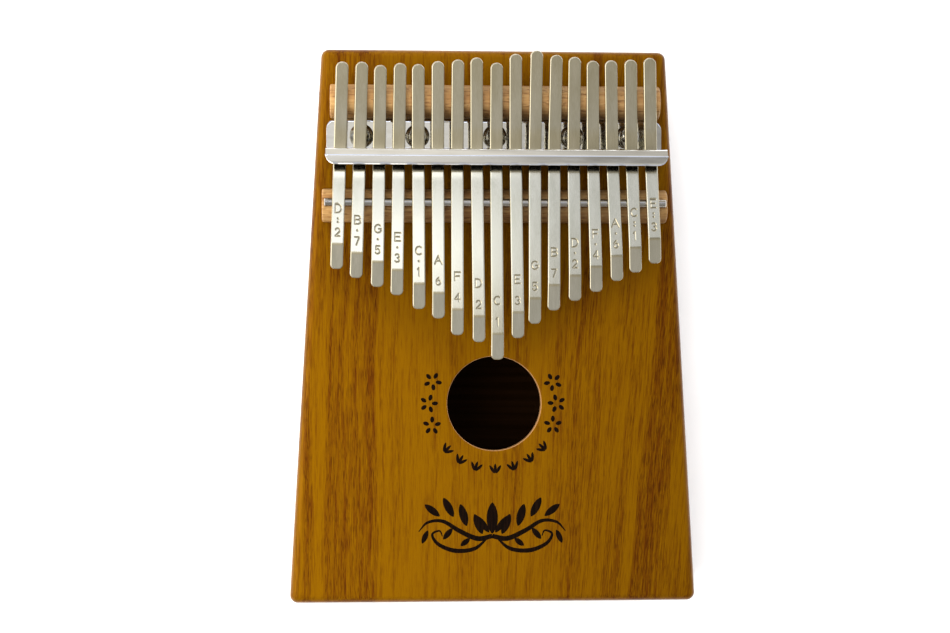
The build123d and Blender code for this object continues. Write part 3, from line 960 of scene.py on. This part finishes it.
def strokeMesh(name, curve, widths):
    # A ribbon along a curve: the curve is a smooth line through a few points and the width follows
    # it, tapering at both ends. The ribbon is a flattened tube.
    knots, t = np.linspace(0, 1, len(curve)), np.linspace(0, 1, 48)
    line = smoothThrough(knots, np.array(curve, float), t)
    heading = np.gradient(line, t, axis=0)
    heading = heading / np.hypot(heading[:, 0], heading[:, 1])[:, None]
    reach = np.interp(t, knots, widths)[:, None] / 2
    ring = np.array([(-1, -0.6), (-1, 0.35), (-0.7, 0.9), (0, 1), (0.7, 0.9), (1, 0.35), (1, -0.6)])
    return gridMesh(name, spread(line[:, :1] - heading[:, 1:] * reach * ring[:, 0],
                                 line[:, 1:] + heading[:, :1] * reach * ring[:, 0],
                                 boardTop + ring[:, 1] * inkShape["proud"]))


def smoothThrough(knots, values, t):
    # a smooth line through points, as cubic pieces whose slopes come from the neighbours
    slope = np.gradient(values, knots, axis=0)
    place = np.clip(np.searchsorted(knots, t, side="right") - 1, 0, len(knots) - 2)
    step = (knots[place + 1] - knots[place])[:, None]
    s = (t[:, None] - knots[place][:, None]) / step
    return ((2 * s**3 - 3 * s**2 + 1) * values[place] + (s**3 - 2 * s**2 + s) * step * slope[place]
            + (3 * s**2 - 2 * s**3) * values[place + 1] + (s**3 - s**2) * step * slope[place + 1])


def fromHole(distance, angle):
    # a place on the board by its distance from the middle of the hole and its angle
    return np.array(boxShape["holeMiddle"]) + distance * np.array([cos(angle), sin(angle)])


def makeFlowers():
    # three flowers of five petals to either side of the hole
    meshes = []
    for number, (ring, degrees) in enumerate(inkShape["flowers"]):
        middle = fromHole(ring, radians(degrees))
        for petal in range(5):
            spin = radians(72 * petal + 90 + inkShape["flowerTurn"] * number)
            place = middle + inkShape["petalRing"] * np.array([cos(spin), sin(spin)])
            meshes.append(petalMesh("petal", place, spin, *inkShape["petalHalf"]))
    addPiece("flower_print", joinMeshes("flower_print_shell", meshes), printInk)


def makeLeafArc():
    # seven sprouts of three leaves on an arc below the hole
    meshes = []
    for degrees in inkShape["leafAngles"]:
        angle = radians(degrees - 90)
        foot = fromHole(inkShape["leafRing"] + inkShape["footReach"], angle)
        for lean in (-1, 0, 1):
            turn = angle + pi + radians(lean * inkShape["leafSpread"])
            middle = foot + inkShape["leafReach"] * np.array([cos(turn), sin(turn)])
            meshes.append(petalMesh("leaf", middle, turn, *inkShape["leafHalf"], point=1.4))
    addPiece("leaf_arc_print", joinMeshes("leaf_arc_print_shell", meshes), printInk)


# half a sprig: lines as points from its middle with their widths, and leaves as (across, up, angle in
# degrees, half length, half width)
sprigShape = {
    "middle": (-0.6, -66.5),
    "point": 1.5,
    "stem": [(0, -3.4), (5, -4.2), (11, -1.6), (16.5, 1.6), (21.5, 1.2), (24.5, -1.8)],
    "stemWidths": [1.5, 1.7, 1.5, 1.2, 0.9, 0.3],
    "tendril": [(1.5, -4.0), (6, -7.6), (12.5, -8.2), (18, -6.0), (20, -2.8), (17.6, -1.6), (16.6, -3.4)],
    "tendrilWidths": [0.5, 1.3, 1.5, 1.2, 0.8, 0.6, 0.3],
    "leaves": [(4.6, 0.6, 68, 3.6, 1.35), (9.6, 3.6, 74, 3.8, 1.4), (14.6, 6.2, 62, 3.6, 1.3),
               (20.0, 5.2, 38, 3.2, 1.15), (9.0, -5.4, -38, 2.0, 0.9), (14.8, -2.6, -50, 2.4, 0.95),
               (22.4, -3.6, -66, 2.4, 0.9)],
    "bud": [(0, 2.6, 90, 5.2, 1.9), (-3.2, 0.6, 128, 3.6, 1.1), (3.2, 0.6, 52, 3.6, 1.1)],
}


def makeSprig():
    # a leafy sprig, the same to both sides of its middle bud
    s = sprigShape
    middle = np.array(s["middle"])
    meshes = []
    for hand in (-1, 1):
        for line in ("stem", "tendril"):
            meshes.append(strokeMesh(line, np.array(s[line]) * (hand, 1) + middle, s[line + "Widths"]))
        for x, y, angle, *size in s["leaves"]:
            turn = radians(angle if hand > 0 else 180 - angle)
            meshes.append(petalMesh("leaf", middle + (hand * x, y), turn, *size, s["point"]))
    for x, y, angle, *size in s["bud"]:
        meshes.append(petalMesh("bud", middle + (x, y), radians(angle), *size, s["point"]))
    addPiece("sprig_print", joinMeshes("sprig_print_shell", meshes), printInk)


makeFlowers()
makeLeafArc()
makeSprig()
print("prints built")


floorShape = {"half": 12000.0, "level": -0.2}     # a hair below the box, so that no faces coincide


def makeFloor():
    # matt white paper, with a barely seen mottle
    material, add = newMaterial("matt_white_paper")
    mottle = add("TexNoise", values={"Scale": 40.0, "Detail": 3.0},
                 links={"Vector": add("TexCoord", out="Object")})
    colour = add("ValToRGB", links={"Fac": mottle}, stops=[(0.3, "#fbfbfb"), (0.7, "#ffffff")])
    closeMaterial(add, {"Roughness": 0.9, "Specular IOR Level": 0.1}, {"Base Color": colour})
    half, level = floorShape["half"] * mm, floorShape["level"] * mm
    corners = [(x * half, y * half, level) for x, y in ((-1, -1), (1, -1), (1, 1), (-1, 1))]
    mesh = bpy.data.meshes.new("floor_sheet")
    mesh.from_pydata(corners, [], [(0, 1, 2, 3)])
    mesh.materials.append(material)
    floor = bpy.data.objects.new("floor", mesh)
    scene.collection.objects.link(floor)


# The studio as the metal sees it, in bands by the angle from straight up toward the head. Each row:
# the degrees over which the band fades in, its brightness to the left and to the right, the degrees
# aside over which one becomes the other, and its tint. The fifth is a bright strip of window.
skyBands = [
    ((-90.0, -80.0), 0.42, 0.36, (1.0, 8.0), "#fffaf0"),
    ((-26.0, -14.0), 0.71, 0.59, (1.0, 8.0), "#f1f4ff"),
    ((-4.5, -3.2), 0.61, 0.47, (1.0, 8.0), "#fffaf0"),
    ((3.9, 4.8), 0.88, 0.36, (1.0, 8.0), "#fffbf4"),
    ((14.8, 15.8), 3.5, 1.15, (2.6, 5.8), "#dfe8ff"),
    ((17.7, 19.0), 1.1, 1.13, (2.6, 5.8), "#dfe8ff"),
    ((24.0, 45.0), 0.97, 0.57, (4.0, 18.0), "#fff9ee"),
]
# a small bright panel to the left, by its degrees aside and ahead, which lights up the rounded edges
leftPanel = {"strength": 3.0, "tint": "#fffaf0", "from": (-10.0, -16.0), "to": (-66.0, -50.0),
             "within": (26.0, 16.0)}
lampRig = [
    # name, direction from the object, distance and size in metres, power in watts
    ("left_softbox", (-0.78, -0.2, 0.6), 0.9, 0.7, 8.0),
    ("front_softbox", (0.0, -0.8, 0.6), 1.2, 0.9, 1.2),
    ("right_softbox", (0.78, 0.1, 0.62), 1.3, 0.9, 8.0),
    ("head_softbox", (-0.1, 0.75, 0.66), 1.3, 0.9, 11.0),
]


def makeSky():
    # the bands laid over each other in turn, and the panel over them all
    world = bpy.data.worlds.new("studio")
    world.use_nodes = True
    scene.world = world
    world.node_tree.nodes.clear()
    add = partial(addNode, world.node_tree)

    def fadeIn(angle, span):
        # 0 at the first angle and 1 at the second, with a smooth step
        return add("MapRange", smoothly, {1: span[0], 2: span[1]}, {0: angle})

    def bright(tint, strength):
        # a tint at a strength that may pass 1
        return (*(channel * strength for channel in linear(tint)[:3]), 1.0)

    way = add("SeparateXYZ", links={0: add("TexCoord", out="Generated")}, out=None)
    tilts = [add("Math", {"operation": "ARCTAN2"}, links={0: way[axis], 1: way["Z"]}) for axis in "XY"]
    aside, ahead = [add("Math", {"operation": "DEGREES"}, links={0: tilt}) for tilt in tilts]
    sky = None
    for span, left, right, sides, tint in skyBands:
        band = add("Mix", asColour, {6: bright(tint, left), 7: bright(tint, right)},
                   {0: fadeIn(aside, sides)}, out=2)
        if sky:
            band = add("Mix", asColour, links={0: fadeIn(ahead, span), 6: sky, 7: band}, out=2)
        sky = band
    beside = add("Math", {"operation": "ABSOLUTE"}, links={0: ahead})
    inPanel = fadeIn(aside, leftPanel["from"])
    for edge in (fadeIn(aside, leftPanel["to"]), fadeIn(beside, leftPanel["within"])):
        inPanel = add("Math", {"operation": "MULTIPLY"}, links={0: inPanel, 1: edge})
    sky = add("Mix", asColour, {7: bright(leftPanel["tint"], leftPanel["strength"])},
              {0: inPanel, 6: sky}, out=2)
    add("OutputWorld", links={"Surface": add("Background", links={"Color": sky})}, out=None)


def makeLamps():
    # soft boxes that light the wood and the floor; the metal shows only the sky
    for name, toward, distance, size, power in lampRig:
        lamp = bpy.data.lights.new(name, "AREA")
        lamp.shape, lamp.size, lamp.energy = "SQUARE", size, power
        holder = bpy.data.objects.new(name, lamp)
        direction = np.array(toward) / np.linalg.norm(toward)
        holder.location = direction * distance
        holder.rotation_euler = (-holder.location).to_track_quat("-Z", "Y").to_euler()
        holder.visible_camera = False
        holder.visible_glossy = False
        scene.collection.objects.link(holder)


cameraShape = {
    "lens": 68.21,
    "place": (-41.93, 1.23, 633.11),
    "turn": (0.186, -3.397, 0.055),    # degrees about X, Y and Z
}


def makeCamera():
    # looks straight down with a slight turn toward the keys
    data = bpy.data.cameras.new("camera")
    data.lens, data.sensor_width = cameraShape["lens"], 36.0
    data.clip_start = 0.01
    camera = bpy.data.objects.new("camera", data)
    scene.collection.objects.link(camera)
    about = {axis: Matrix.Rotation(radians(angle), 4, axis)
             for axis, angle in zip("XYZ", cameraShape["turn"])}
    turn = about["Y"] @ about["X"] @ about["Z"]
    camera.matrix_world = Matrix.Translation([v * mm for v in cameraShape["place"]]) @ turn
    scene.camera = camera


makeFloor()
makeSky()
makeLamps()
makeCamera()
print("studio built")
